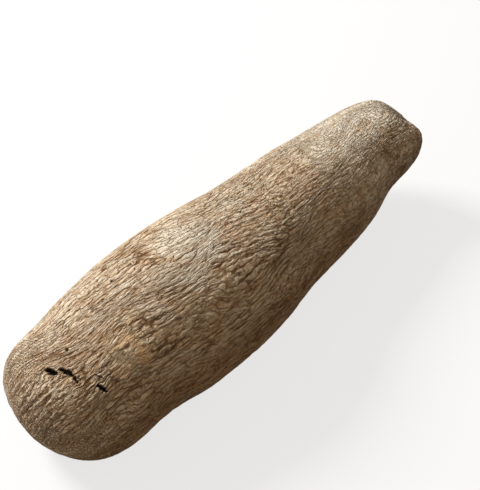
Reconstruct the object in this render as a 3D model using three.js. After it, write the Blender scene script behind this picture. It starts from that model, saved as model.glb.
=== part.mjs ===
// A whole yam tuber, dug and cured, lying on its side.
// Units are millimetres, +Z is up and the tuber rests on z = 0.
// Its length runs along X: the blunt growing end is at -X and the crown, where the vine sat, at +X.
// It grew as one piece, so it is one closed solid.

import * as THREE from 'three';

// Driving dimensions.
const LENGTH = 300;
const HEIGHT_TO_WIDTH = 0.96;
const RESTING_FLAT_DEPTH = 1.5;

// Mesh fineness: rings from end to end, and points around each ring.
const RINGS = 44;
const POINTS_PER_RING = 64;

// Sections from the blunt end to the crown.
// x: place along the tuber, halfWidth: half of its width there,
// sway: sideways drift of its middle, lift: height of its underside above the ground.
const SECTIONS = [
  { x: -150, halfWidth: 44.0, sway: 8.0, lift: 0 },
  { x: -120, halfWidth: 42.0, sway: 3.0, lift: 0 },
  { x: -90, halfWidth: 44.0, sway: 3.5, lift: 0 },
  { x: -60, halfWidth: 46.5, sway: 0.0, lift: 0 },
  { x: -30, halfWidth: 47.0, sway: -2.0, lift: 0 },
  { x: 0, halfWidth: 45.0, sway: -2.5, lift: 0 },
  { x: 30, halfWidth: 41.5, sway: -1.0, lift: 0 },
  { x: 60, halfWidth: 39.5, sway: 0.0, lift: 0.5 },
  { x: 90, halfWidth: 36.0, sway: -0.5, lift: 3 },
  { x: 120, halfWidth: 33.0, sway: -1.0, lift: 10.5 },
  { x: 150, halfWidth: 42.0, sway: -12.5, lift: 16 },
];

// Rounded ends: how far the rounding reaches in from the tip, how full it is and how square.
const BLUNT_END = { reach: 39, fullness: 2.6, squareness: 2.15 };
const CROWN_END = { reach: 54, fullness: 2.05, squareness: 2.4 };
const BLUNT_TIP_HEIGHT = 33;

// The upper side of the crown is an old break, healed to a slope with a rounded edge.
const BREAK_NORMAL = new THREE.Vector3(0.69, -0.22, 0.73).normalize();
const BREAK_DISTANCE = 145.6;
const BREAK_EDGE_SHARPNESS = 12;
// A direction that leans towards the break less than this never meets it, and no ring gets
// smaller than the least radius.
const LEAST_LEAN_TO_BREAK = 0.02;
const LEAST_RADIUS = 0.3;
// Where less than this share of the section is left, the tuber has closed to its tip point.
const CLOSED_SHARE = 0.001;

// Gentle swellings and hollows of the body.
// angle goes around the tuber in degrees: 0 on the +Y side, 90 on top, 180 on the -Y side.
const SWELLINGS = [
  { x: -46, angle: 36, reach: 24, spread: 26, height: 1.0 },
  { x: -92, angle: 110, reach: 30, spread: 34, height: 0.8 },
  { x: 36, angle: 165, reach: 24, spread: 26, height: -1.6 },
  { x: 66, angle: 95, reach: 30, spread: 36, height: 0.8 },
  { x: 10, angle: 330, reach: 34, spread: 40, height: -1.2 },
  { x: -70, angle: 320, reach: 30, spread: 30, height: 1.0 },
];

// A smooth curve through the sections, giving half width, sway and lift at any x.
const SECTION_VALUES = ['halfWidth', 'sway', 'lift'];
const sectionCurve = new THREE.CubicInterpolant(
  SECTIONS.map((section) => section.x),
  SECTIONS.flatMap((section) => SECTION_VALUES.map((value) => section[value])),
  SECTION_VALUES.length,
  new Float64Array(SECTION_VALUES.length),
);

// Share of the full section left at a distance in from a tip: 0 at the tip, 1 past the rounding.
function endRounding(distanceFromTip, end) {
  const depth = Math.max(0, 1 - distanceFromTip / end.reach);
  return Math.pow(Math.max(0, 1 - Math.pow(depth, end.fullness)), 1 / end.squareness);
}

// The turn from one angle to another in degrees, from -180 to 180.
function turnBetween(angle, other) {
  return THREE.MathUtils.euclideanModulo(angle - other + 180, 360) - 180;
}

// Height of all swellings and hollows at one place on the skin.
function swellingAt(x, angle) {
  let height = 0;
  for (const swelling of SWELLINGS) {
    const along = (x - swelling.x) / swelling.reach;
    const around = turnBetween(angle, swelling.angle) / swelling.spread;
    height += swelling.height * Math.exp(-along * along - around * around);
  }
  return height;
}

// Radius left by the healed break: the smooth smaller of the body's radius and the way to the slope.
function radiusUnderBreak(radius, centre, direction) {
  const lean = BREAK_NORMAL.dot(direction);
  if (lean < LEAST_LEAN_TO_BREAK) {
    return radius;
  }
  const wayToSlope = Math.max(LEAST_RADIUS, (BREAK_DISTANCE - BREAK_NORMAL.dot(centre)) / lean);
  const sum = Math.pow(radius, -BREAK_EDGE_SHARPNESS) + Math.pow(wayToSlope, -BREAK_EDGE_SHARPNESS);
  return Math.pow(sum, -1 / BREAK_EDGE_SHARPNESS);
}

// One ring of skin points, or the single tip point where the section has closed.
function ringAt(x) {
  const [fullHalfWidth, sway, lift] = sectionCurve.evaluate(x);
  const bluntRounding = endRounding(x + LENGTH / 2, BLUNT_END);
  const crownRounding = endRounding(LENGTH / 2 - x, CROWN_END);
  const halfWidth = fullHalfWidth * bluntRounding;
  const underside = BLUNT_TIP_HEIGHT * (1 - bluntRounding) + lift - RESTING_FLAT_DEPTH;
  const centre = new THREE.Vector3(x, sway, underside + HEIGHT_TO_WIDTH * halfWidth);
  const rounding = bluntRounding * crownRounding;
  if (rounding < CLOSED_SHARE) {
    return [centre];
  }
  const ring = [];
  for (let i = 0; i < POINTS_PER_RING; i += 1) {
    const turn = (i / POINTS_PER_RING) * 2 * Math.PI;
    const direction = new THREE.Vector3(0, Math.cos(turn), HEIGHT_TO_WIDTH * Math.sin(turn));
    const swelling = swellingAt(x, THREE.MathUtils.radToDeg(turn)) * rounding;
    const radius = radiusUnderBreak(halfWidth * crownRounding + swelling, centre, direction);
    const point = centre.clone().addScaledVector(direction, radius);
    point.z = Math.max(0, point.z);
    ring.push(point);
  }
  return ring;
}

// The index of one point of a ring; a closed section has only its tip point.
function pointOf(ring, i) {
  return ring.start + (ring.count > 1 ? i % ring.count : 0);
}

// Triangles between two rings that follow each other, facing out.
function stitch(before, after, indices) {
  for (let i = 0; i < POINTS_PER_RING; i += 1) {
    const next = i + 1;
    if (before.count > 1) {
      indices.push(pointOf(before, i), pointOf(before, next), pointOf(after, i));
    }
    if (after.count > 1) {
      indices.push(pointOf(before, next), pointOf(after, next), pointOf(after, i));
    }
  }
}

// The skin as one closed mesh. Rings crowd towards the tips, where the curve is tightest.
function tuberGeometry() {
  const points = [];
  const rings = [];
  for (let i = 0; i < RINGS; i += 1) {
    const x = -0.5 * LENGTH * Math.cos((Math.PI * i) / (RINGS - 1));
    const ring = ringAt(x);
    rings.push({ start: points.length, count: ring.length });
    points.push(...ring);
  }
  const indices = [];
  for (let i = 1; i < RINGS; i += 1) {
    stitch(rings[i - 1], rings[i], indices);
  }
  const geometry = new THREE.BufferGeometry().setFromPoints(points);
  geometry.setIndex(indices);
  geometry.computeVertexNormals();
  return geometry;
}

// The origin is on the ground, under the middle of the tuber's box.
function standOnOrigin(geometry) {
  geometry.computeBoundingBox();
  const middle = geometry.boundingBox.getCenter(new THREE.Vector3());
  geometry.translate(-middle.x, -middle.y, -geometry.boundingBox.min.z);
}

const geometry = tuberGeometry();
standOnOrigin(geometry);

const skin = new THREE.MeshStandardMaterial({ color: 0x96795a, roughness: 0.9, metalness: 0 });
const tuber = new THREE.Mesh(geometry, skin);
tuber.name = 'yam_tuber';

const yam = new THREE.Group();
yam.add(tuber);

export default yam;
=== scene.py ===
"""A whole yam tuber lying on a pale floor, in soft light from behind and above.

The tuber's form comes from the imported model. Its skin is made here: folds, wrinkles, scratches,
holes and a rubbed patch are real relief in the mesh, and the same fields drive the colours.
Lengths in this file are millimetres until a mesh or an object is made, and metres from there on.

A spot on the skin is a pair: the length along the skin from the blunt tip, and the turn round
the tuber in degrees, where 0 faces +Y, 90 is the top and 270 the underside. A zone is a share
from 0 to 1 for every point of the mesh.
"""

import math

import bpy
import numpy as np
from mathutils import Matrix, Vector


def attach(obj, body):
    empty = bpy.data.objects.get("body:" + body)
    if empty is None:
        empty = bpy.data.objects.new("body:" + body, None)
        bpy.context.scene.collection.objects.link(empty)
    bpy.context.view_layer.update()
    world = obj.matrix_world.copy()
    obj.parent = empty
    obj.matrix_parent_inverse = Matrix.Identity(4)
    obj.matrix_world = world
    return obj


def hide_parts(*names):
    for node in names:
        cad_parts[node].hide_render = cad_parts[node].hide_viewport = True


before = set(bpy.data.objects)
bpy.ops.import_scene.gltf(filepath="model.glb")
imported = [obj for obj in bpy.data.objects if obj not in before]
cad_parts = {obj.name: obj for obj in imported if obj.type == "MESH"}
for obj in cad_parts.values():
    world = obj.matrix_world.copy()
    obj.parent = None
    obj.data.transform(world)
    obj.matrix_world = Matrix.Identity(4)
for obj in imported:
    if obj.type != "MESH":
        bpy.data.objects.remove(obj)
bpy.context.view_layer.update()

MM = 0.001
NODE = "yam_tuber"
SEED = 11


def fade(value, start, end):
    """0 at start, 1 at end, smooth between."""
    share = np.clip((value - start) / (end - start), 0, 1)
    return share * share * (3 - 2 * share)


def bell(value, width):
    """1 at 0, falling smoothly to nearly 0 at twice the width, on both sides."""
    return np.exp(-((value / width) ** 2))


def turn_between(turn, other):
    """The turn from one angle to another in degrees, from -180 to 180."""
    return (turn - other + 180) % 360 - 180


def running_total(steps):
    """0 and then the sum of the steps so far."""
    return np.concatenate([[0], np.cumsum(steps)])


# ---------- The smooth form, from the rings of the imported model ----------

RING_POINTS = 64
HALF_TURN = RING_POINTS // 2
TABLE_STEPS = 20


def box_middle(ring):
    """The middle of a ring's box."""
    return (ring.min(axis=0) + ring.max(axis=0)) / 2


def cad_rings():
    """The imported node's points, sorted into rings from the blunt end to the crown."""
    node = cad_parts[NODE]
    points = np.array([node.matrix_world @ vertex.co for vertex in node.data.vertices]) / MM
    points = np.unique(np.round(points, 3), axis=0)
    places = np.round(points[:, 0], 1)
    rings = []
    for place in np.unique(places):
        ring = points[places == place]
        if len(ring) == 1:
            rings.append(np.repeat(ring, RING_POINTS, axis=0))
            continue
        middle = box_middle(ring)
        turns = np.arctan2(ring[:, 2] - middle[2], ring[:, 1] - middle[1])
        rings.append(ring[np.argsort(turns)])
    return rings


def lined_up(rings):
    """The rings turned so that points with one index lie on one line along the tuber."""

    def shape(ring):
        return (ring[:, 1:] - box_middle(ring)[1:]) / max(np.ptp(ring[:, 1]), 1e-6)

    def line_up(index, neighbour):
        goal = shape(rings[neighbour])
        own = shape(rings[index])
        gaps = [np.abs(np.roll(own, -turn, axis=0) - goal).sum() for turn in range(RING_POINTS)]
        rings[index] = np.roll(rings[index], -int(np.argmin(gaps)), axis=0)

    middle_ring = len(rings) // 2
    start = int(np.argmax(rings[middle_ring][:, 1]))
    rings[middle_ring] = np.roll(rings[middle_ring], -start, axis=0)
    for index in range(middle_ring - 1, 0, -1):
        line_up(index, index + 1)
    for index in range(middle_ring + 1, len(rings) - 1):
        line_up(index, index - 1)
    return np.array(rings)


def curve_weights(share):
    """Catmull-Rom weights of four neighbours at a share of the middle span, and their slopes."""
    square, cube = share**2, share**3
    weights = [
        -0.5 * cube + square - 0.5 * share,
        1.5 * cube - 2.5 * square + 1,
        -1.5 * cube + 2 * square + 0.5 * share,
        0.5 * cube - 0.5 * square,
    ]
    slopes = [
        -1.5 * square + 2 * share - 0.5,
        4.5 * square - 5 * share,
        -4.5 * square + 4 * share + 0.5,
        1.5 * square - share,
    ]
    return np.stack(weights, axis=-1), np.stack(slopes, axis=-1)


class Form:
    """The smooth form: u runs over the rings from the blunt tip to the crown, v round each ring.

    length_table holds the length along the skin at each place of u_table.
    """

    def __init__(self, rings):
        self.last = len(rings) - 1
        over_blunt_tip = [np.roll(rings[k], HALF_TURN, axis=0) for k in (2, 1)]
        over_crown_tip = [np.roll(rings[-1 - k], HALF_TURN, axis=0) for k in (1, 2)]
        self.rings = np.concatenate([over_blunt_tip, rings, over_crown_tip])
        self.centres = rings.mean(axis=1)
        self.u_table = np.linspace(0, self.last, self.last * TABLE_STEPS + 1)
        v = np.arange(0, RING_POINTS, 1.0)
        points, _ = self.at(self.u_table[:, None] + 0 * v, v + 0 * self.u_table[:, None])
        steps = np.linalg.norm(np.diff(points, axis=0), axis=-1).mean(axis=1)
        self.length_table = running_total(steps)

    def at(self, u, v):
        """Points and outward normals."""
        u = np.clip(u, 0, self.last - 1e-9)
        row, column = np.floor(u).astype(int), np.floor(v).astype(int)
        weights_u, slopes_u = curve_weights(u - row)
        weights_v, slopes_v = curve_weights(v - column)
        reach = np.arange(-1, 3)
        rows = row[..., None] + 2 + reach
        columns = (column[..., None] + reach) % RING_POINTS
        near = self.rings[rows[..., :, None], columns[..., None, :]]
        blend = "...i,...j,...ijk->...k"
        points = np.einsum(blend, weights_u, weights_v, near)
        along = np.einsum(blend, slopes_u, weights_v, near)
        around = np.einsum(blend, weights_u, slopes_v, near)
        normals = np.cross(around, along)
        normals /= np.maximum(np.linalg.norm(normals, axis=-1, keepdims=True), 1e-12)
        return points, normals

    def spot(self, length, turn):
        """The place in space of a spot on the skin."""
        u = np.interp(length, self.length_table, self.u_table)
        point, _ = self.at(np.array([u]), np.array([turn / 360 * RING_POINTS]))
        return point[0]


form = Form(lined_up(cad_rings()))


def path_gap(points, path):
    """Distance from points to a path through spots on the skin, and the share along it."""
    corners = [form.spot(*place) for place in path]
    if len(corners) == 1:
        return np.linalg.norm(points - corners[0], axis=1), np.full(len(points), 0.5)
    spans = [end - start for start, end in zip(corners[:-1], corners[1:])]
    sizes = [np.linalg.norm(span) for span in spans]
    nearest, share_along = np.full(len(points), 1e9), np.zeros(len(points))
    for index, (start, span) in enumerate(zip(corners, spans)):
        share = np.clip((points - start) @ span / (span @ span), 0, 1)
        gap = np.linalg.norm(points - start - share[:, None] * span, axis=1)
        closer = gap < nearest
        nearest[closer] = gap[closer]
        share_along[closer] = (sum(sizes[:index]) + share[closer] * sizes[index]) / sum(sizes)
    return nearest, share_along


# ---------- The mesh: rings of points at an even spacing, finer near the holes ----------

RING_SPACING = 1.55
POINT_SPACING = 0.51
RING_SAMPLES = 256
FEWEST_RING_POINTS = 6

# The crown has more rings than the rest, and the underside, which nobody sees, fewer points.
CLOSE_RINGS_ZONE = (260, 300)
CLOSE_RINGS_EXTRA = 0.5
UNDERSIDE_TURN = 270
UNDERSIDE_EDGE = (37, 62)
UNDERSIDE_SHARE = 0.5

# Edges this near to a hole's side are halved, once for each of these distances.
HALVING_REACHES = (3.0, 1.2)

# Holes: the spots along each, its half width, its depth, and how dark it is.
HOLES = [
    ([(42.0, 90.2), (43.0, 95.0), (44.4, 100.0)], 1.4, 3.2, 1.0),
    ([(47.0, 98.5), (48.8, 104.5), (49.2, 109.6), (48.5, 114.6)], 1.1, 2.6, 0.95),
    ([(55.3, 124.6), (56.0, 128.0), (56.5, 131.4)], 0.95, 2.4, 1.0),
    ([(57.2, 117.8), (58.6, 120.0), (59.4, 122.8)], 0.5, 0.8, 0.8),
    ([(56.8, 90.3)], 1.0, 1.0, 0.8),
    ([(101.2, 73.2)], 0.85, 0.9, 0.9),
    ([(148.0, 12.0)], 0.8, 0.9, 0.85),
    ([(152.0, 17.5)], 0.55, 0.7, 0.8),
    ([(236.0, 352.0)], 0.75, 0.8, 0.85),
    ([(88.0, 214.0), (89.0, 219.0)], 0.8, 1.2, 0.9),
    ([(262.0, 205.0)], 0.7, 0.8, 0.85),
]


def ring_places(u):
    """Places v of one ring's points."""
    samples = np.linspace(0, RING_POINTS, RING_SAMPLES + 1)
    points, _ = form.at(np.full(len(samples), u), samples)
    steps = np.linalg.norm(np.diff(points, axis=0), axis=-1)
    turns = (samples[:-1] + samples[1:]) / 2 / RING_POINTS * 360
    from_underside = np.abs(turn_between(turns, UNDERSIDE_TURN))
    wish = UNDERSIDE_SHARE + (1 - UNDERSIDE_SHARE) * fade(from_underside, *UNDERSIDE_EDGE)
    total = running_total(steps * wish)
    count = max(FEWEST_RING_POINTS, int(round(total[-1] / POINT_SPACING)))
    return np.interp(np.arange(count) / count * total[-1], total, samples)


def ring_rows():
    """Places u of the rings, without the two tips."""
    wish = 1 + CLOSE_RINGS_EXTRA * fade(form.length_table, *CLOSE_RINGS_ZONE)
    total = running_total(np.diff(form.length_table) * (wish[:-1] + wish[1:]) / 2)
    count = int(round(total[-1] / RING_SPACING))
    lengths = np.interp(np.arange(1, count) / count * total[-1], total, form.length_table)
    return np.interp(lengths, form.length_table, form.u_table)


def zip_rings(first, first_start, second, second_start):
    """Triangles between two rings, from the places of their points, facing out."""

    def edge_middles(places):
        following = np.append(places[1:], places[0] + RING_POINTS)
        return (places + following) / 2

    middles, other_middles = edge_middles(first), edge_middles(second)
    index = np.arange(len(first))
    across = np.searchsorted(other_middles, middles) % len(second)
    following = (index + 1) % len(first)
    on_first = [first_start + index, first_start + following, second_start + across]
    index = np.arange(len(second))
    across = np.searchsorted(middles, other_middles) % len(first)
    following = (index + 1) % len(second)
    on_second = [first_start + across, second_start + following, second_start + index]
    return np.concatenate([np.stack(on_first, axis=1), np.stack(on_second, axis=1)])


def tip_fan(tip, ring, start, flip):
    """Triangles between a tip and the ring next to it."""
    index = np.arange(len(ring))
    here = start + index
    following = start + (index + 1) % len(ring)
    edge = [following, here] if flip else [here, following]
    return np.stack([*edge, np.full_like(index, tip)], axis=1)


def even_mesh():
    """Places (u, v) of all points and the triangles between them."""
    rows = ring_rows()
    rings = [ring_places(u) for u in rows]
    starts = 1 + running_total([len(ring) for ring in rings])
    u = np.concatenate([[0.0]] + [np.full(len(ring), row) for ring, row in zip(rings, rows)])
    u = np.append(u, form.last)
    v = np.concatenate([[0.0]] + rings + [[0.0]])
    triangles = [
        zip_rings(rings[k], starts[k], rings[k + 1], starts[k + 1]) for k in range(len(rings) - 1)
    ]
    triangles.append(tip_fan(0, rings[0], starts[0], flip=True))
    triangles.append(tip_fan(len(u) - 1, rings[-1], starts[-2], flip=False))
    return u, v, np.concatenate(triangles)


def refined(u, v, triangles, chosen):
    """The mesh with every edge of the chosen triangles halved."""
    edges = np.sort(triangles[:, [0, 1, 1, 2, 2, 0]].reshape(-1, 2), axis=1)
    unique, inverse = np.unique(edges, axis=0, return_inverse=True)
    inverse = inverse.reshape(-1, 3)
    halved = np.zeros(len(unique), bool)
    halved[inverse[chosen]] = True
    middle_of = np.full(len(unique), -1)
    middle_of[halved] = len(u) + np.arange(halved.sum())
    start, end = unique[halved].T
    v_end = v[end] + RING_POINTS * np.round((v[start] - v[end]) / RING_POINTS)
    u = np.append(u, (u[start] + u[end]) / 2)
    v = np.append(v, ((v[start] + v_end) / 2) % RING_POINTS)
    middles = middle_of[inverse]
    cut = middles >= 0
    kept = [triangles[~cut.any(axis=1)]]

    def keep(rows, *corners):
        kept.append(np.stack([corner[rows] for corner in corners], axis=1))

    for corner in range(3):
        a, b, c = np.roll(triangles, -corner, axis=1).T
        ab, bc, _ = np.roll(middles, -corner, axis=1).T
        cut_ab, cut_bc, cut_ca = np.roll(cut, -corner, axis=1).T
        one = cut_ab & ~cut_bc & ~cut_ca
        keep(one, a, ab, c)
        keep(one, ab, b, c)
        two = cut_ab & cut_bc & ~cut_ca
        keep(two, ab, b, bc)
        keep(two, a, ab, bc)
        keep(two, a, bc, c)
    every = cut.all(axis=1)
    a, b, c = triangles.T
    ab, bc, ca = middles.T
    keep(every, a, ab, ca)
    keep(every, ab, b, bc)
    keep(every, ca, bc, c)
    keep(every, ab, bc, ca)
    return u, v, np.concatenate(kept)


u, v, triangles = even_mesh()
for reach in HALVING_REACHES:
    near = np.zeros(len(u), bool)
    points, _ = form.at(u, v)
    for path, half_width, _, _ in HOLES:
        near |= path_gap(points, path)[0] < half_width + reach
    u, v, triangles = refined(u, v, triangles, near[triangles].any(axis=1))

# At the tips themselves the surface has no direction, so normals are taken just beside them.
BESIDE_TIP = 0.05
points, _ = form.at(u, v)
_, normals = form.at(np.clip(u, BESIDE_TIP, form.last - BESIDE_TIP), v)
length = np.interp(u, form.u_table, form.length_table)


# ---------- Noise ----------

SHEET_STEP = 0.4
SHEET_LENGTH = 400.0
EVENING_FORCE = 0.9
BODY_RADIUS = 46.0
LEVELS = (-1, 0, 1, 2, 3)
CLOUD_WAVES = 48


class Grain:
    """Seamless seeded noise drawn out along the tuber.

    size is the width of one wave across the grain, lean the grain's angle to the tuber's length,
    spread how far single waves stray from that lean, and band how much their sizes differ. Each
    round of evening makes the waves more alike in height. The noise is made on sheets of several
    widths, each half as wide as the last, so that towards the tips, where the girth shrinks,
    waves merge and keep their size.
    """

    def __init__(self, rng, size, lean, spread, band, evening):
        self.sheets = {}
        rows = int(SHEET_LENGTH / SHEET_STEP)
        for level in LEVELS:
            width = 2 * math.pi * BODY_RADIUS / 2.0**level
            columns = max(16, int(round(width / SHEET_STEP)))
            waves_along = np.fft.fftfreq(rows, SHEET_STEP)[:, None]
            waves_across = np.fft.rfftfreq(columns, width / columns)[None]
            frequency = np.hypot(waves_along, waves_across)
            angle = np.degrees(np.arctan2(waves_along, waves_across + 1e-9))
            stray = (angle - lean + 90) % 180 - 90
            strength = bell(frequency * size - 1, band) * bell(stray, spread)
            sheet = rng.standard_normal((rows, columns))
            for _ in range(evening + 1):
                sheet = np.fft.irfft2(np.fft.rfft2(sheet) * strength, s=(rows, columns))
                sheet = np.tanh(EVENING_FORCE * sheet / sheet.std())
            self.sheets[level] = sheet / sheet.std()

    def at(self, length, turn, level):
        """Noise of spread 1. turn is in whole turns, level a real number within LEVELS."""
        level = np.clip(level, LEVELS[0], LEVELS[-1] - 1e-6)
        whole = np.floor(level).astype(int)
        share = (level - whole) * math.pi / 2
        total = np.zeros_like(length)
        for number in LEVELS:
            weight = np.where(whole == number, np.cos(share), 0.0)
            weight += np.where(whole + 1 == number, np.sin(share), 0.0)
            used = weight > 0
            if used.any():
                total[used] += weight[used] * self.sample(number, length[used], turn[used])
        return total

    def sample(self, level, length, turn):
        """The sheet of one level, read between its points."""
        sheet = self.sheets[level]
        rows, columns = sheet.shape
        row_place = (length / SHEET_STEP) % rows
        column_place = (turn % 1.0) * columns
        row, column = np.floor(row_place).astype(int), np.floor(column_place).astype(int)
        row_share, column_share = row_place - row, column_place - column
        next_row, next_column = (row + 1) % rows, (column + 1) % columns
        row, column = row % rows, column % columns
        low = sheet[row, column] * (1 - column_share) + sheet[row, next_column] * column_share
        high = sheet[next_row, column] * (1 - column_share)
        high += sheet[next_row, next_column] * column_share
        return low * (1 - row_share) + high * row_share


def cloud(rng, points, size):
    """Smooth seeded noise in space, of spread 1, with lumps about as wide as size."""
    directions = rng.standard_normal((CLOUD_WAVES, 3))
    directions /= np.linalg.norm(directions, axis=1, keepdims=True)
    sizes = size * 2.0 ** rng.uniform(0.3, 1.6, CLOUD_WAVES)
    phases = rng.uniform(0, 2 * math.pi, CLOUD_WAVES)
    total = np.zeros(len(points))
    for direction, one_size, phase in zip(directions, sizes, phases):
        total += np.cos(points @ direction * (2 * math.pi / one_size) + phase)
    return total * math.sqrt(2 / CLOUD_WAVES)


# ---------- Zones of the skin ----------

# The wrinkles run to a growing tip that lies below the blunt end of the form, towards +Y.
GROWING_TIP_SHIFT = (20.0, -46.0)
GROWING_TIP_ZONE = (60, 0)
LEAST_RADIUS = 1.5
CROWN_ZONE = (225, 300)

ring_numbers = np.arange(form.last + 1)
shifted = fade(length, *GROWING_TIP_ZONE)
side = points[:, 1] - np.interp(u, ring_numbers, form.centres[:, 1])
side -= GROWING_TIP_SHIFT[0] * shifted
rise = points[:, 2] - np.interp(u, ring_numbers, form.centres[:, 2])
rise -= GROWING_TIP_SHIFT[1] * shifted
turn = (np.arctan2(rise, side) / (2 * math.pi)) % 1.0
turn_degrees = turn * 360
radius = np.maximum(np.hypot(side, rise), LEAST_RADIUS)

# Along the tuber, each zone from the length where it starts to the length where it is full.
blunt = fade(length, 75, 30)
narrowing = fade(length, 130, 200)
fine = fade(length, 185, 245)
knitted = fade(length, 212, 275)
crown = fade(length, *CROWN_ZONE)
crown_tip = fade(length, 296, 328)
last_tip = fade(length, 338, 348)

# Round the tuber, by the turn from its top or its underside.
from_top = np.abs(turn_between(turn_degrees, 90))
below = fade(from_top, 50, 95)
underneath = 1 - fade(np.abs(turn_between(turn_degrees, UNDERSIDE_TURN)), 15, 50)

# The crown's -Y side has the strongest small crinkles.
crinkled = fade(length, 240, 290) * fade(turn_between(turn_degrees, 100), 5, 35)


def left_after(*losses):
    """What is left of 1 after each loss, a share lost and the zone where it is lost."""
    left = 1.0
    for share_lost, zone in losses:
        left = left * (1 - share_lost * zone)
    return left


# ---------- Fields of the skin ----------

# Wave size, lean, spread, band and rounds of evening of each field. The seeded draws are made in
# this order.
GRAINS = {
    "wander": (50, 0, 60, 0.5, 0),
    "zigzag": (6.5, 0, 90, 0.5, 0),
    "jitter": (2.8, 0, 90, 0.5, 0),
    "rope_top": (9.5, -9, 14, 0.4, 2),
    "rope_low": (9.5, -2, 14, 0.4, 2),
    "wrinkle_top": (5.4, -10, 14, 0.35, 2),
    "wrinkle_low": (5.2, -3, 14, 0.35, 2),
    "wrinkle_left": (5.2, 6, 15, 0.35, 2),
    "wrinkle_right": (5.2, -19, 15, 0.35, 2),
    "scratch": (3.1, -6, 26, 0.4, 2),
    "knit": (4.6, -6, 60, 0.4, 2),
    "straight_patch": (24, 0, 60, 0.5, 0),
    "left_patch": (24, 0, 60, 0.5, 0),
    "right_patch": (24, 0, 60, 0.5, 0),
    "rope_patch": (24, 0, 60, 0.5, 0),
}
RAGGED_SIZE = 5
BULGE_SIZE = 26
WANDER_REACH = 2.2
CALM_SHARE = 0.35
ZIGZAG_REACH = 0.30
JITTER_REACH = 0.20
LEAST_GIRTH = 12
PATCH_SHARPNESS = 3.0
KNOT_SCALE = 1.6
KNOT_LEVELS = 0.68

rng = np.random.default_rng(SEED)
grains = {name: Grain(rng, *shape) for name, shape in GRAINS.items()}
ragged = cloud(rng, points, RAGGED_SIZE)
bulges = cloud(rng, points, BULGE_SIZE)

# Wrinkles are smaller towards the crown, at the blunt end and underneath. A level of 1 halves the
# number of waves round the girth.
shrinks = 0.15 * narrowing + 0.1 * fine + 0.1 * crown + 0.18 * blunt + 0.15 * below * (1 - crown)
level = np.log2((1 - shrinks) * BODY_RADIUS / radius)

# The wrinkles wander and kink: their fields are read at turns that are shifted sideways. The
# cells of the skin, further down, wander less.
girth = np.maximum(2 * math.pi * radius, LEAST_GIRTH)
wander = WANDER_REACH * grains["wander"].at(length, turn, 0 * level)
kinks = ZIGZAG_REACH * grains["zigzag"].at(length, turn, level)
kinks += JITTER_REACH * grains["jitter"].at(length, turn, level)
kinked_turn = turn + wander / girth + kinks * left_after((0.5, crown)) / girth
calm_turn = turn + CALM_SHARE * wander / girth


def field(name):
    """A field of the skin, along the kinked wrinkles."""
    return grains[name].at(length, kinked_turn, level)


def crossfade(share, first, second):
    """Two fields of spread 1 mixed so that the mix has spread 1 too."""
    return first * np.cos(share * math.pi / 2) + second * np.sin(share * math.pi / 2)


# Folds and wrinkles lean more on top than on the sides.
low_share = np.maximum(fade(from_top, 35, 70), blunt)
rope = crossfade(low_share, field("rope_top"), field("rope_low"))

# In patches the wrinkles cross to the left or to the right, where one field outdoes the others.
patch = {name: grains[name].at(length, turn, level) for name in GRAINS if name.endswith("patch")}
claims = [
    patch["straight_patch"] + 1.3,
    patch["left_patch"] - 0.8 + 2.3 * blunt,
    patch["right_patch"] - blunt,
]
shares = np.exp(PATCH_SHARPNESS * np.stack(claims))
shares /= np.sqrt((shares**2).sum(axis=0))
wrinkle = shares[0] * crossfade(low_share, field("wrinkle_top"), field("wrinkle_low"))
wrinkle += shares[1] * field("wrinkle_left")
wrinkle += shares[2] * field("wrinkle_right")

# Scratches become knitted on the crown, and the same knit, drawn larger, makes its knots.
scratch = crossfade(knitted, field("scratch"), field("knit"))
knots = grains["knit"].at(length / KNOT_SCALE, kinked_turn, level + KNOT_LEVELS)


# ---------- Spots on the skin: the rubbed patch and a calmer stretch ----------

# How far from a spot its edge starts and ends, in reaches.
SPOT_EDGE = (0.45, 1.2)

# Spots and reaches of the rubbed patch, and the rim round most of it with its width.
SCUFF_SPOTS = [((84.5, 112), 5.5), ((83.5, 123), 5.5), ((73.5, 117), 7.5), ((78, 128), 4.5)]
SCUFF_RAGGED = 1.6
UPPER_RIM = [(76, 114), (81, 113), (84, 119), (86, 129), (83, 134)]
UPPER_RIM_EDGE = (1.2, 4.0)
LOWER_RIM = [(65, 124), (72, 131)]
LOWER_RIM_EDGE = (0.8, 3.0)
LOWER_RIM_SHARE = 0.7
RIM_RAGGED = 0.9
CALM_SPOTS = [((124, 134), 19), ((138, 128), 13)]


def blob(place, reach, ragged_by=0.0):
    """1 at a spot on the skin, 0 a little over a reach away, with a ragged edge."""
    gap, _ = path_gap(points, [place])
    return 1 - fade((gap + ragged_by * ragged) / reach, *SPOT_EDGE)


def blobs(spots, ragged_by=0.0):
    """The greatest of the blobs at some spots, each with its reach."""
    return np.max([blob(place, reach, ragged_by) for place, reach in spots], axis=0)


def rim_line(path, edge):
    """1 on a path over the skin and 0 beside it, with ragged sides."""
    gap, _ = path_gap(points, path)
    return 1 - fade(gap + RIM_RAGGED * ragged, *edge)


scuff = blobs(SCUFF_SPOTS, SCUFF_RAGGED)
rim = rim_line(UPPER_RIM, UPPER_RIM_EDGE)
rim = np.maximum(rim, LOWER_RIM_SHARE * rim_line(LOWER_RIM, LOWER_RIM_EDGE))
calm = blobs(CALM_SPOTS)

# ---------- Relief ----------

RIDGE_WIDTH = 0.5
RIDGE_MIDDLE = 0.7
ROPE_HEIGHT = 0.85
WRINKLE_HEIGHT = 0.60
SCRATCH_HEIGHT = 0.28
KNOT_HEIGHT = 0.55
BULGE_HEIGHT = 0.35
UNDERSIDE_DRAWN_IN = 0.55

# The rim of the rubbed patch is raised at its edge, where its share is near this.
RIM_HEIGHT = 0.25
RIM_LIP, RIM_LIP_WIDTH = 0.35, 0.3
LEAST_RIM = 0.02

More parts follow.
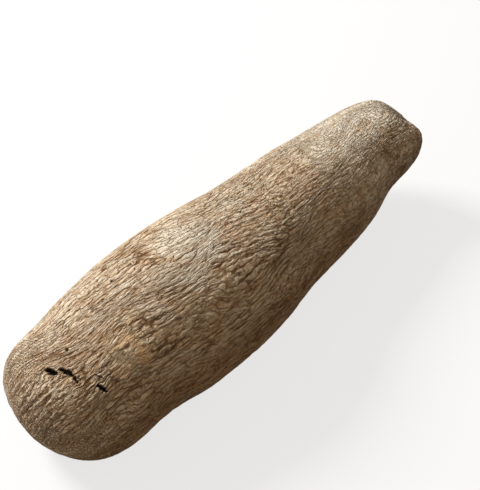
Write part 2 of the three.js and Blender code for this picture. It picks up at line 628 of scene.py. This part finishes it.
# Holes: their walls, dark insides, which are painted shade over dark matter, and raised lips, in
# half widths from the middle.
HOLE_WALL = (0.35, 1.15)
HOLE_DARK = (0.6, 1.3)
LIP_HEIGHT, LIP_PLACE, LIP_WIDTH = 0.3, 1.6, 0.6
HOLE_TAPER = 0.45
HOLE_SCRATCHED, HOLE_RAGGED = 0.22, 0.2

# Dents and swellings: the spots along the middle of each, its height and its reach.
SWELLINGS = [
    ([(204, 144)], -1.0, 11),
    ([(330, 106), (338, 120), (330, 140)], -1.3, 2.2),
    ([(336, 165)], 0.9, 9),
]


def ridges(values):
    """Flat ridges with narrow creases where the field passes through 0."""
    return 1 - np.exp(-np.abs(values) / RIDGE_WIDTH) - RIDGE_MIDDLE


smooth = left_after((0.75, np.maximum(scuff, rim)), (0.45, calm))
rope_deep = smooth * np.clip(0.62 + 0.4 * patch["rope_patch"], 0, 1)
rope_deep *= left_after((0.5, fine), (0.5, crown), (0.35, blunt), (0.3, below))
wrinkle_deep = smooth * left_after((0.3, fine), (0.57, crown), (0.15, blunt))
scratch_deep = smooth * (0.75 + 0.3 * fine + 0.2 * crown + 1.2 * crown_tip + 0.25 * below)
knots_deep = smooth * np.maximum(crown_tip, 0.7 * crinkled) * (1 - last_tip)

height = ROPE_HEIGHT * rope_deep * ridges(rope)
height += WRINKLE_HEIGHT * wrinkle_deep * ridges(wrinkle)
height += SCRATCH_HEIGHT * scratch_deep * ridges(scratch)
height += KNOT_HEIGHT * knots_deep * ridges(knots)

# What the material reads as high and low, before dents, rim and holes.
relief = 0.5 + 0.9 * height

height += BULGE_HEIGHT * bulges
for path, lift, reach in SWELLINGS:
    height += lift * bell(path_gap(points, path)[0], reach)
height += RIM_HEIGHT * bell(rim - RIM_LIP, RIM_LIP_WIDTH) * (rim > LEAST_RIM)

# The skin that would lie under the floor is drawn in, so that only the ridges there touch it.
height -= UNDERSIDE_DRAWN_IN * underneath

# Holes: long ones narrow towards their ends and have ragged sides, and all have a raised lip.
hole = np.zeros(len(u))
for path, half_width, depth, darkness in HOLES:
    gap, share = path_gap(points, path)
    if len(path) > 1:
        gap = gap + HOLE_SCRATCHED * scratch + HOLE_RAGGED * ragged
    gap /= half_width * (1 - HOLE_TAPER * (2 * share - 1) ** 2)
    height -= depth * (1 - fade(gap, *HOLE_WALL))
    height += LIP_HEIGHT * bell(gap - LIP_PLACE, LIP_WIDTH)
    hole = np.maximum(hole, darkness * (1 - fade(gap, *HOLE_DARK)))

skin_points = points + normals * height[:, None]
skin_points[:, 2] = np.maximum(skin_points[:, 2], 0)

# ---------- Patches of tone ----------

# Length, turn and reach of the patches of each tone on the upper sides.
TONES = {
    # Pale patches are dust; those on the crown are painted light.
    "pale": [
        (134, 112, 9), (142, 79, 13), (150, 94, 15), (212, 130, 8), (225, 35, 14), (262, 88, 14),
        (266, 92, 8), (272, 68, 8), (278, 76, 14), (290, 93, 9), (292, 70, 15), (300, 84, 20),
        (304, 98, 17), (318, 80, 14),
    ],
    "olive": [
        (46, 132, 4), (118, 128, 9), (145, 130, 7), (180, 142, 8), (202, 76, 6), (206, 146, 13),
        (207, 117, 8), (215, 114, 6), (254, 152, 9), (255, 79, 7), (258, 141, 10), (260, 117, 9),
        (286, 121, 7), (307, 128, 6),
    ],
    "brown": [
        (47, 112, 9), (52, 98, 13), (58, 104, 5), (60, 118, 7), (66, 152, 9), (68, 84, 9),
        (70, 79, 13), (72, 108, 6), (74, 154, 12), (84, 80, 14), (95, 128, 9), (98, 62, 13),
        (98, 92, 8), (112, 72, 10), (180, 102, 10), (195, 150, 11), (222, 90, 12), (228, 100, 8),
        (296, 138, 5), (302, 179, 9), (305, 127, 8), (328, 140, 7),
    ],
    "rose": [
        (20, 121, 9), (47, 87, 9), (48, 103, 8), (51, 121, 8), (60, 112, 12), (66, 106, 16),
        (112, 105, 11), (116, 76, 12), (168, 100, 16), (196, 94, 14), (232, 104, 14),
        (276, 112, 12),
    ],
    "grey": [
        (68, 124, 7), (86, 83, 7), (103, 106, 5), (104, 118, 8), (120, 98, 10), (158, 84, 10),
        (186, 82, 10), (252, 74, 14),
    ],
    "sand": [
        (26, 90, 14), (28, 92, 15), (38, 143, 16), (44, 150, 9), (124, 154, 9), (268, 142, 11),
        (288, 150, 11), (298, 122, 5), (307, 141, 6), (311, 134, 8), (320, 148, 13),
    ],
}
EARTHY_PATCHES = [(66, 106, 15), (113, 107, 11), (138, 112, 9), (142, 133, 8), (222, 108, 9)]
THIN_EARTH = 0.33

# Every tone has some more patches on the far side and underneath, at seeded places.
FAR_PATCHES = 6
FAR_TURNS = (190, 395)
FAR_LENGTHS = (20, 335)
FAR_REACHES = (6, 15)
TONE_RAGGED = 2.5


def far_patches(draws):
    """Patches of one tone on the sides that don't show from above."""
    made = []
    for _ in range(FAR_PATCHES):
        there = draws.uniform(*FAR_TURNS) % 360
        made.append((draws.uniform(*FAR_LENGTHS), there, draws.uniform(*FAR_REACHES)))
    return made


def toned(patches):
    """How much of a tone every point has: 1 in its patches, fading out raggedly."""
    return blobs([((along, there), reach) for along, there, reach in patches], TONE_RAGGED)


far_draws = np.random.default_rng(SEED + 1)
tone = {name: toned(patches + far_patches(far_draws)) for name, patches in TONES.items()}

# The crown is pale on top, which is painted light, and its end is brown on the -Y side.
crown_top = fade(length, 235, 285) * (1 - fade(np.abs(turn_between(turn_degrees, 80)), 30, 65))
crown_end = fade(length, 312, 335) * fade(turn_between(turn_degrees, 105), 0, 25)
tone["pale"] = np.maximum(tone["pale"], 0.9 * crown_top)
tone["pale"] *= left_after((0.8, np.maximum(tone["olive"], tone["brown"])))
tone["brown"] = np.maximum(tone["brown"], 0.35 * crown_end)

# Painted shade darkens the lower -Y flank and the underside, and earth lies thinly in a few patches
# above.
earth_and_painted_shade = fade(turn_between(turn_degrees, 152), 0, 26)
earth_and_painted_shade *= 1 - fade(turn_between(turn_degrees, 250), 0, 50)
earth_and_painted_shade *= left_after((0.6, crown))
earth_and_painted_shade = np.maximum(earth_and_painted_shade, THIN_EARTH * toned(EARTHY_PATCHES))

# ---------- The mesh of the skin, with the values that its material reads ----------

# Corky cells are drawn out along the body, and shorter and a little wider on the crown: their
# places are shortened along the tuber by these factors, and narrowed round the crown.
BODY_CELLS = 0.27
CROWN_CELLS_EXTRA = 0.55
CROWN_NARROWING = 0.12


def cell_lengths():
    """The length along the skin, shortened most where the cells are drawn out most."""
    factors = BODY_CELLS + CROWN_CELLS_EXTRA * fade(form.length_table, *CROWN_ZONE)
    shortened = running_total(np.diff(form.length_table) * factors[1:])
    return np.interp(length, form.length_table, shortened)


def sheet_places():
    """Where the corners of the triangles lie on a flat sheet of the skin, cut open underneath."""
    across = (v / RING_POINTS - UNDERSIDE_TURN / 360) % 1.0
    across = across[triangles]
    crossing = np.ptp(across, axis=1) > 0.5
    across[crossing] += across[crossing] < 0.5
    for tip in (0, len(u) - 1):
        at_tip = triangles == tip
        others = np.where(at_tip, 0, across).sum(axis=1, keepdims=True) / 2
        across = np.where(at_tip, others, across)
    along = length[triangles] / form.length_table[-1]
    return np.stack([across / across.max(), along], axis=-1)


def make_piece(name, places, values):
    """A smooth-shaded piece with the named values kept at its points."""
    mesh = bpy.data.meshes.new(name)
    mesh.vertices.add(len(places))
    mesh.vertices.foreach_set("co", (places * MM).astype(np.float32).ravel())
    mesh.loops.add(len(triangles) * 3)
    mesh.loops.foreach_set("vertex_index", triangles.astype(np.int32).ravel())
    mesh.polygons.add(len(triangles))
    mesh.polygons.foreach_set("loop_start", np.arange(len(triangles), dtype=np.int32) * 3)
    mesh.polygons.foreach_set("use_smooth", np.ones(len(triangles), bool))
    sheet = mesh.uv_layers.new(name="OFBake")
    sheet.uv.foreach_set("vector", sheet_places().astype(np.float32).ravel())
    mesh.update(calc_edges=True)
    mesh.validate()
    for key, value in values.items():
        if value.ndim == 1:
            layer = mesh.attributes.new(key, "FLOAT", "POINT")
            layer.data.foreach_set("value", value.astype(np.float32))
        else:
            layer = mesh.attributes.new(key, "FLOAT_VECTOR", "POINT")
            layer.data.foreach_set("vector", value.astype(np.float32).ravel())
    piece = bpy.data.objects.new(name, mesh)
    bpy.context.scene.collection.objects.link(piece)
    return piece


across_y = radius * np.cos(calm_turn * 2 * math.pi)
across_z = radius * np.sin(calm_turn * 2 * math.pi)
narrowed = left_after((CROWN_NARROWING, crown))
skin = make_piece(
    "yam_skin",
    skin_points,
    {
        "grain_place": np.stack([length, across_y, across_z], axis=1),
        "cell_place": np.stack([cell_lengths(), across_y * narrowed, across_z * narrowed], axis=1),
        "rope": rope,
        "wrinkle": wrinkle,
        "scratch": scratch,
        "knots": knots,
        "rope_deep": rope_deep,
        "wrinkle_deep": wrinkle_deep,
        "knots_deep": knots_deep,
        "relief": relief,
        "hole": hole,
        "scuff": scuff,
        "rim": rim,
        "crown": crown,
        "below": below,
        "crinkled": crinkled,
        "earth_and_painted_shade": earth_and_painted_shade,
        **tone,
    },
)

# ---------- The skin's material ----------


class Nodes:
    """Short calls for building a node tree. Every call returns an output socket."""

    def __init__(self, tree):
        self.tree = tree

    def make(self, kind, output, inputs, **settings):
        node = self.tree.nodes.new(kind)
        for key, value in settings.items():
            setattr(node, key, value)
        for key, value in inputs.items():
            if isinstance(value, bpy.types.NodeSocket):
                self.tree.links.new(value, node.inputs[key])
            elif value is not None:
                node.inputs[key].default_value = value
        return node.outputs[output]

    def value(self, name):
        return self.make("ShaderNodeAttribute", "Fac", {}, attribute_name=name)

    def place(self, name):
        return self.make("ShaderNodeAttribute", "Vector", {}, attribute_name=name)

    def math(self, operation, a, b=None, c=None):
        return self.make("ShaderNodeMath", 0, {0: a, 1: b, 2: c}, operation=operation)

    def times(self, first, *others):
        """The product of all."""
        for other in others:
            first = self.math("MULTIPLY", first, other)
        return first

    def greatest(self, first, *others):
        """The greatest of all."""
        for other in others:
            first = self.math("MAXIMUM", first, other)
        return first

    def vector(self, operation, first, second):
        inputs = {0: first, 1: second}
        return self.make("ShaderNodeVectorMath", 0, inputs, operation=operation)

    def noise(self, vector, size, detail, roughness):
        inputs = {"Vector": vector, "Scale": 1 / size, "Detail": detail, "Roughness": roughness}
        return self.make("ShaderNodeTexNoise", "Fac", inputs)

    def fade(self, value, start, end, low=0.0, high=1.0):
        """low where the value is at start, high where it is at end, smooth between."""
        inputs = {"Value": value, 1: start, 2: end, 3: low, 4: high}
        return self.make("ShaderNodeMapRange", 0, inputs, interpolation_type="SMOOTHSTEP")

    def mix(self, share, first, second, blend="MIX"):
        inputs = {0: share, 6: first, 7: second}
        return self.make("ShaderNodeMix", 2, inputs, data_type="RGBA", blend_type=blend)

    def seen(self):
        """1 for rays that show a thing to the camera, 0 for the soft light between things."""
        kinds = ("Is Camera Ray", "Is Glossy Ray", "Is Transmission Ray")
        return self.greatest(*[self.make("ShaderNodeLightPath", kind, {}) for kind in kinds])


def color(red, green, blue):
    return (red, green, blue, 1.0)


SHADES = {
    "tan": color(0.70, 0.51, 0.315),
    "cream": color(0.89, 0.77, 0.575),
    "brown": color(0.50, 0.315, 0.155),
    "olive": color(0.39, 0.305, 0.16),
    "grey": color(0.64, 0.58, 0.48),
    "rose": color(0.74, 0.50, 0.32),
    "sand": color(0.87, 0.65, 0.44),
    "dust_and_painted_light": color(0.94, 0.862, 0.715),
    "umber": color(0.60, 0.49, 0.36),
    "rust": color(0.81, 0.57, 0.335),
    "bark": color(0.47, 0.375, 0.25),
    "soil_and_shade": color(0.14, 0.060, 0.016),
    "black": color(0.006, 0.004, 0.003),
}

# Noises of the skin: where each is read, how it is squeezed along the tuber, so that less makes
# longer marks, and its size, detail and roughness.
NOISES = {
    "tone": ("grain_place", 1, 22, 4, 0.6),
    "tone_small": ("grain_place", 1, 3.2, 2, 0.5),
    "streak": ("grain_place", 0.22, 2.6, 4, 0.65),
    "hue": ("grain_place", 0.5, 8, 3, 0.6),
    "band": ("grain_place", 0.3, 4.5, 2, 0.5),
    "blotch": ("grain_place", 0.6, 5, 4, 0.65),
    "scrape": ("grain_place", 0.16, 1.1, 2, 0.5),
    "lump": ("grain_place", 0.7, 6, 3, 0.6),
    "mottle": ("cell_place", 1, 1.8, 3, 0.6),
    "speck": ("cell_place", 1.6, 0.85, 3, 0.65),
}
CELL_SIZE = 1.75
CELL_BEND = 1.1
CELL_BEND_SIZE = 1.6
CELL_BEND_DETAIL = 2.0

# Creases: the width of each field's dark lines, and their strength. The lines are soil and painted
# shade, painted darker on the lower side.
ROPE_CREASE = 0.27
WRINKLE_CREASE, WRINKLE_DARK = 0.36, 0.9
SCRATCH_CREASE, CRINKLED_CREASE = 0.36, 0.55
SCRATCH_DARK, SCRATCH_DARK_BELOW, SCRATCH_DARK_CROWN = 0.62, 0.8, 0.92
KNOT_CREASE, KNOT_DARK = 0.40, 0.7

# Layers of colour: what each lays on, the value that places it, where that value starts and
# where it is full, and how strong the layer is on the body and on the crown.
GROUND_LAYERS = [
    ("cream", "streak", (0.42, 0.68), (0.6, 0.6)),
    ("rose", "hue", (0.50, 0.62), (0.4, 0.4)),
    ("grey", "hue", (0.48, 0.36), (0.4, 0.4)),
    ("darker", "band", (0.50, 0.30), (0.5, 0.225)),
]
DETAIL_LAYERS = [
    ("lighter", "cell", (0.55, 0.90), (0.2, 0.8)),
    ("darker", "cell", (0.35, 0.05), (0.3, 0.6)),
    ("rose", "cell_hue", (0.70, 0.90), (0.2, 0.45)),
    ("lighter", "lump", (0.49, 0.57), (0.2, 0.85)),
    ("stained", "lump", (0.47, 0.40), (0.15, 0.6)),
    ("lighter", "mottle", (0.50, 0.66), (0.4, 0.18)),
    ("darker", "mottle", (0.50, 0.34), (0.8, 0.36)),
    ("lighter", "scrape", (0.52, 0.70), (0.35, 0.35)),
    ("darker", "scrape", (0.46, 0.30), (1.0, 0.45)),
    ("lighter", "speck", (0.52, 0.70), (0.6, 0.6)),
    ("darker", "speck", (0.48, 0.30), (0.9, 0.18)),
    # The relief's layers are painted light on the ridge tops and painted shade in the hollows.
    ("lighter", "relief", (0.50, 0.85), (0.3, 0.3)),
    ("darker", "relief", (0.40, 0.00), (0.6, 0.6)),
]

# Shade of the patches of each tone, its greatest strength, and the least share of that.
TONE_LAYERS = {
    "rose": ("rose", 0.75, 0.5),
    "grey": ("grey", 0.7, 0.5),
    "brown": ("brown", 0.8, 0.5),
    "olive": ("olive", 0.8, 0.5),
    "pale": ("dust_and_painted_light", 0.92, 0.65),
    "sand": ("sand", 0.85, 0.5),
}

# Fine relief by the material, in millimetres on the body and on the crown.
BUMPS = {
    "crease": (-0.8, -0.8),
    "mottle": (0.45, 0.45),
    "lump": (0.0, 1.6),
    "speck": (0.6, 0.6),
    "scrape": (0.5, 0.5),
    "crack": (-0.15, -0.45),
}
SPECULAR = 0.3


class SkinPaint(Nodes):
    """The skin's colour, laid on in layers, and its fine relief."""

    def __init__(self, tree):
        super().__init__(tree)
        self.on_crown = self.value("crown")
        self.values = {name: self.value(name) for name in ("relief", "below")}
        for name, (place, squeeze, *look) in NOISES.items():
            squeezed = self.vector("MULTIPLY", self.place(place), (squeeze, 1, 1))
            self.values[name] = self.noise(squeezed, *look)
        self.add_cells()
        self.add_creases()
        ground = self.fade(self.values["tone"], 0.36, 0.62)
        self.base = self.mix(ground, SHADES["brown"], SHADES["tan"])
        self.off_pale = self.fade(self.value("pale"), 0.0, 1.0, 1.0, 0.55)
        stain = self.greatest(self.value("olive"), self.value("brown"))
        self.off_stain = self.fade(self.times(stain, self.on_crown), 0.0, 1.0, 1.0, 0.3)

    def by_crown(self, body, crown):
        """One number on the body and another on the crown, smooth between."""
        if body == crown:
            return body
        return self.fade(self.on_crown, 0.0, 1.0, body, crown)

    def add_cells(self):
        """Corky cells: a value and a hue for each, and the cracks between them."""
        place = self.place("cell_place")
        bends = {"Vector": place, "Scale": 1 / CELL_BEND_SIZE, "Detail": CELL_BEND_DETAIL}
        bend = self.make("ShaderNodeTexNoise", "Color", bends)
        bend = self.vector("MULTIPLY", bend, (CELL_BEND, CELL_BEND, CELL_BEND))
        look = {"Vector": self.vector("ADD", place, bend), "Scale": 1 / CELL_SIZE}
        edge = self.make("ShaderNodeTexVoronoi", "Distance", look, feature="DISTANCE_TO_EDGE")
        cell = self.make("ShaderNodeTexVoronoi", "Color", look, feature="F1")
        self.values["cell"] = self.make("ShaderNodeSeparateColor", 0, {0: cell})
        self.values["cell_hue"] = self.make("ShaderNodeSeparateColor", 1, {0: cell})
        self.values["crack"] = self.fade(edge, 0.0, self.by_crown(0.13, 0.17), 1.0, 0.0)

    def crease(self, name, width, strength):
        """Dark lines where a field of the skin passes through 0."""
        line = self.fade(self.math("ABSOLUTE", self.value(name)), 0.0, width, 1.0, 0.0)
        return self.times(line, strength)

    def add_creases(self):
        """The dark lines of all the fields together."""
        crinkled, below = self.value("crinkled"), self.values["below"]
        scratch_width = self.fade(crinkled, 0.0, 1.0, SCRATCH_CREASE, CRINKLED_CREASE)
        scratch_dark = self.fade(below, 0.0, 1.0, SCRATCH_DARK, SCRATCH_DARK_BELOW)
        scratch_dark = self.times(scratch_dark, self.by_crown(1.0, SCRATCH_DARK_CROWN))
        wrinkle_dark = self.times(self.value("wrinkle_deep"), WRINKLE_DARK)
        knot_dark = self.times(self.value("knots_deep"), KNOT_DARK)
        self.values["crease"] = self.greatest(
            self.crease("rope", ROPE_CREASE, self.value("rope_deep")),
            self.crease("wrinkle", WRINKLE_CREASE, wrinkle_dark),
            self.crease("scratch", scratch_width, scratch_dark),
            self.crease("knots", KNOT_CREASE, knot_dark),
        )

    def cover(self, shade, *shares):
        """Lay a shade over the colour so far."""
        self.base = self.mix(self.times(*shares), self.base, SHADES[shade])

    def stain(self, *shares):
        """Multiply the colour so far with umber."""
        self.base = self.mix(self.times(*shares), self.base, SHADES["umber"], "MULTIPLY")

    def lighten(self, *shares):
        """Dust the skin, and paint light on ridge and crinkle tops; less on the crown's brown and
        olive patches.
        """
        self.cover("dust_and_painted_light", self.off_stain, *shares)

    def darken(self, *shares):
        """Stain the skin, but less on pale patches; by the relief and on the lower side this is
        painted shade.
        """
        self.stain(self.off_pale, *shares)

    def add_layers(self, layers):
        """Lay on every layer of a table."""
        for kind, name, (start, end), (body, crown) in layers:
            shares = self.fade(self.values[name], start, end), self.by_crown(body, crown)
            if kind == "lighter":
                self.lighten(*shares)
            elif kind == "darker":
                self.darken(*shares)
            elif kind == "stained":
                self.stain(*shares)
            else:
                self.cover(kind, *shares)

    def add_tones(self):
        """The patches of tone, each broken up by blotches."""
        for name, (shade, strength, least) in TONE_LAYERS.items():
            patchy = self.fade(self.values["blotch"], 0.35, 0.62, least * strength, strength)
            self.cover(shade, self.value(name), patchy)

    def add_crinkle_light_and_shade(self):
        """Painted light on the tops and painted shade in the hollows of the crown's crinkled side.
        """
        crinkled, mottle = self.value("crinkled"), self.values["mottle"]
        self.lighten(crinkled, self.fade(mottle, 0.49, 0.60, 0.15, 0.75))
        self.stain(crinkled, self.fade(mottle, 0.49, 0.38, 0.0, 0.6))

    def add_scuff(self):
        """The rubbed patch: rust-coloured, with bare bark in its middle and a rust rim."""
        scuff, blotch, small = self.value("scuff"), self.values["blotch"], self.values["tone_small"]
        self.cover("rust", scuff, self.fade(blotch, 0.36, 0.62, 0.35, 0.85))
        self.cover("bark", self.fade(scuff, 0.55, 1.0), self.fade(small, 0.40, 0.56, 0.3, 0.95))
        self.cover("rust", self.value("rim"), self.fade(small, 0.35, 0.5, 0.5, 0.95))

    def add_soil_and_shade(self):
        """Soil and painted shade in the creases and cracks, and dark holes."""
        cracked = self.by_crown(0.3, 0.48)
        patchy = self.fade(self.values["blotch"], 0.40, 0.58, 0.25, 1.0)
        # Soil and painted shade in the creases and between the cells.
        self.cover("soil_and_shade", self.values["crease"], 0.95)
        self.cover("soil_and_shade", self.values["crack"], cracked, patchy)
        # Painted shade, over dark matter, inside the holes.
        self.cover("black", self.value("hole"))

    def bump(self):
        """The skin's direction with the fine relief."""
        height = 0.0
        for name, (body, crown) in BUMPS.items():
            tall = self.by_crown(body, crown)
            height = self.math("MULTIPLY_ADD", self.values[name], tall, height)
        inputs = {"Strength": 1.0, "Distance": MM, "Height": height}
        return self.make("ShaderNodeBump", 0, inputs)


def skin_material():
    """Corky tan skin with soil and painted shade in its creases."""
    material = bpy.data.materials.new("yam_skin")
    material.use_nodes = True
    tree = material.node_tree
    shader = tree.nodes["Principled BSDF"]
    paint = SkinPaint(tree)
    paint.add_layers(GROUND_LAYERS)
    # Painted shade: the lower side a little darker.
    paint.darken(paint.values["below"], 0.08)
    paint.add_tones()
    paint.add_layers(DETAIL_LAYERS)
    paint.add_crinkle_light_and_shade()
    # Painted shade on the lower -Y flank and underside, and thin earth in patches above.
    paint.stain(paint.value("earth_and_painted_shade"), 0.95)
    paint.add_scuff()
    paint.add_soil_and_shade()
    tree.links.new(paint.base, shader.inputs["Base Color"])
    rough = paint.fade(paint.values["streak"], 0.3, 0.7, 0.92, 0.72)
    tree.links.new(rough, shader.inputs["Roughness"])
    tree.links.new(paint.bump(), shader.inputs["Normal"])
    shader.inputs["Specular IOR Level"].default_value = SPECULAR
    return material


skin.data.materials.append(skin_material())
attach(skin, "root")
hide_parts(NODE)

# ---------- Camera, lamp, world and floor ----------

# Azimuths are measured from +X towards +Y, elevations from the floor, both in degrees.
CAMERA_AZIMUTH, CAMERA_ELEVATION = -138.3, 50
CAMERA_DISTANCE = 711.6
CAMERA_TARGET = Vector((27.3, 16.95, 20.1))
CAMERA_LENS = 85

# The lamp is a square; its distance and size are in metres.
LAMP_AZIMUTH, LAMP_ELEVATION = 100, 42
LAMP_DISTANCE = 1.5
LAMP_SIZE = 0.5
LAMP_POWER = 28
LAMP_COLOR = (0.98, 0.98, 0.97)

# Light from all round is warm and dim; seen directly, everything round the floor is white.
FILL_COLOR = color(0.268, 0.208, 0.143)
WHITE = color(1, 1, 1)

# The floor throws little light back at the tuber, but is seen as nearly white. Away from the
# tuber it glows more and more, from one distance in metres to another.
FLOOR_HALF_WIDTH = 2.5
FLOOR_THROWN = color(0.30, 0.26, 0.22)
FLOOR_SEEN = color(0.94, 0.94, 0.95)
FLOOR_GLOW_NEAR, FLOOR_GLOW_FAR = 0.75, 1.0
FLOOR_GLOW_DISTANCES = (0.3, 1.2)


def direction(azimuth, elevation):
    """The direction in space of an azimuth and an elevation."""
    around, up = math.radians(azimuth), math.radians(elevation)
    flat = math.cos(up)
    return Vector((flat * math.cos(around), flat * math.sin(around), math.sin(up)))


def add_turned(name, data, place, turned):
    """A new object at a place in metres."""
    item = bpy.data.objects.new(name, data)
    item.location = place
    item.rotation_mode = "QUATERNION"
    item.rotation_quaternion = turned
    bpy.context.scene.collection.objects.link(item)
    return item


def add_camera():
    toward = direction(CAMERA_AZIMUTH, CAMERA_ELEVATION)
    data = bpy.data.cameras.new("camera")
    data.lens = CAMERA_LENS
    place = (CAMERA_TARGET + toward * CAMERA_DISTANCE) * MM
    camera = add_turned("camera", data, place, (-toward).to_track_quat("-Z", "Y"))
    bpy.context.scene.camera = camera


def add_lamp():
    toward = direction(LAMP_AZIMUTH, LAMP_ELEVATION)
    data = bpy.data.lights.new("key", "AREA")
    data.size = LAMP_SIZE
    data.energy = LAMP_POWER
    data.color = LAMP_COLOR
    add_turned("key", data, toward * LAMP_DISTANCE, toward.to_track_quat("Z", "Y"))


def add_world():
    world = bpy.data.worlds.new("world")
    bpy.context.scene.world = world
    world.use_nodes = True
    tree = world.node_tree
    nodes = Nodes(tree)
    background = tree.nodes["Background"]
    background.inputs["Color"].default_value = FILL_COLOR
    white = nodes.make("ShaderNodeBackground", 0, {"Color": WHITE})
    inputs = {0: nodes.seen(), 1: background.outputs[0], 2: white}
    mixed = nodes.make("ShaderNodeMixShader", 0, inputs)
    tree.links.new(mixed, tree.nodes["World Output"].inputs["Surface"])


def floor_material():
    material = bpy.data.materials.new("floor")
    material.use_nodes = True
    tree = material.node_tree
    nodes = Nodes(tree)
    shader = tree.nodes["Principled BSDF"]
    shader.inputs["Roughness"].default_value = 1
    seen = nodes.seen()
    tree.links.new(nodes.mix(seen, FLOOR_THROWN, FLOOR_SEEN), shader.inputs["Base Color"])
    place = nodes.make("ShaderNodeNewGeometry", "Position", {})
    away = nodes.make("ShaderNodeVectorMath", 1, {0: place}, operation="LENGTH")
    share = nodes.fade(away, *FLOOR_GLOW_DISTANCES, FLOOR_GLOW_NEAR, FLOOR_GLOW_FAR)
    glow = nodes.make("ShaderNodeEmission", 0, {"Color": WHITE, "Strength": 1.0})
    inputs = {0: nodes.times(seen, share), 1: shader.outputs[0], 2: glow}
    mixed = nodes.make("ShaderNodeMixShader", 0, inputs)
    tree.links.new(mixed, tree.nodes["Material Output"].inputs["Surface"])
    return material


def add_floor():
    mesh = bpy.data.meshes.new("floor")
    signs = [(-1, -1), (1, -1), (1, 1), (-1, 1)]
    corners = [(x * FLOOR_HALF_WIDTH, y * FLOOR_HALF_WIDTH, 0) for x, y in signs]
    mesh.from_pydata(corners, [], [(0, 1, 2, 3)])
    mesh.materials.append(floor_material())
    item = bpy.data.objects.new("floor", mesh)
    bpy.context.scene.collection.objects.link(item)
    return item


add_camera()
add_lamp()
add_world()
floor = add_floor()

bpy.context.scene.view_settings.view_transform = "Standard"
